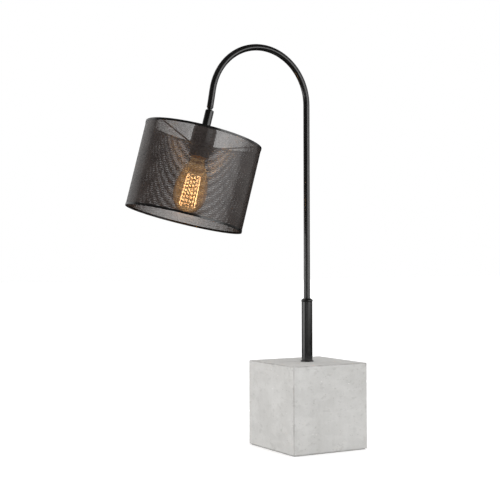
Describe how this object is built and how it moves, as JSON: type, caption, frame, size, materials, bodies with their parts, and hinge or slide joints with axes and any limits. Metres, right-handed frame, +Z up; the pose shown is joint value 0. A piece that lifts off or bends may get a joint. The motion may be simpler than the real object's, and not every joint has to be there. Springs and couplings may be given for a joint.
{
  "type": "table lamp",
  "caption": "Table lamp with a concrete cube base, a slim gooseneck arm, a ball-jointed drum shade of dark metal mesh and a clear filament bulb.",
  "frame": {"origin": "centre of the underside of the pad under the base, on the post's axis", "axes": "+Z up along the post, -X the way the arm bends over, +Y out of the base's back, where the cord's inlet is"},
  "size_m": [0.4149, 0.2092, 0.711],
  "materials": {
    "concrete": "matte",
    "felt": "matte",
    "black_rubber": "matte",
    "zinc_steel": "satin",
    "white_nylon": "matte",
    "dark_bronze": "satin",
    "lead_jacket": "matte",
    "porcelain": "gloss",
    "brass": "satin",
    "black_phenolic": "satin",
    "mesh_metal": "satin",
    "amber_glass": "gloss",
    "clear_glass": "gloss",
    "filament_wire": "satin",
    "support_wire": "satin",
    "black_glass": "gloss",
    "solder": "satin"
  },
  "bodies": {
    "stand": {"concrete_base": "concrete", "base_pad": "felt", "cord_grommet": "black_rubber", "threaded_pipe": "zinc_steel", "base_washer": "zinc_steel", "base_lock_washer": "zinc_steel", "base_nut": "zinc_steel", "wire_splices": "white_nylon", "base_flange": "dark_bronze", "post_sleeve": "dark_bronze", "tube_coupling": "zinc_steel", "post_collar": "dark_bronze", "arm_tube": "dark_bronze", "arm_tip_bush": "dark_bronze", "stand_lead": "lead_jacket"},
    "swivel": {"ball_stud": "dark_bronze", "stud_snap_ring": "zinc_steel", "stud_lead": "lead_jacket"},
    "head": {"swivel_housing": "dark_bronze", "ball_seat": "white_nylon", "disc_springs": "zinc_steel", "housing_nipple": "zinc_steel", "cup_nut": "zinc_steel", "socket_cup": "dark_bronze", "holder_block": "porcelain", "terminal_screws": "brass", "head_leads": "lead_jacket", "socket_skirt": "black_phenolic", "screw_shell": "brass", "centre_contact": "brass", "shade_lock_ring": "black_phenolic", "spider_hub": "dark_bronze", "spider_arms": "dark_bronze", "shade_mesh": "mesh_metal", "shade_seam": "mesh_metal", "shade_top_rim": "dark_bronze", "shade_bottom_rim": "dark_bronze"},
    "bulb": {"bulb_glass": "amber_glass", "glass_stem": "clear_glass", "filament": "filament_wire", "filament_supports": "support_wire", "bulb_cap": "brass", "cap_insulator": "black_glass", "cap_contact": "solder"}
  },
  "joints": [
    {"name": "head_swivel", "type": "hinge", "parent": "stand", "child": "swivel", "pos_m": [-0.19669, 0, 0.58406], "axis": [-0.1702, 0, -0.9854], "range_deg": [-165, 165]},
    {"name": "head_tilt", "type": "hinge", "parent": "swivel", "child": "head", "pos_m": [-0.19669, 0, 0.58406], "axis": [0.5938, 0.7981, -0.1026], "range_deg": [-21.35, 11.5]},
    {"name": "bulb_unscrew", "type": "slide", "parent": "head", "child": "bulb", "axis": [-0.2372, 0.0518, -0.9701], "range_m": [0, 0.03]}
  ]
}
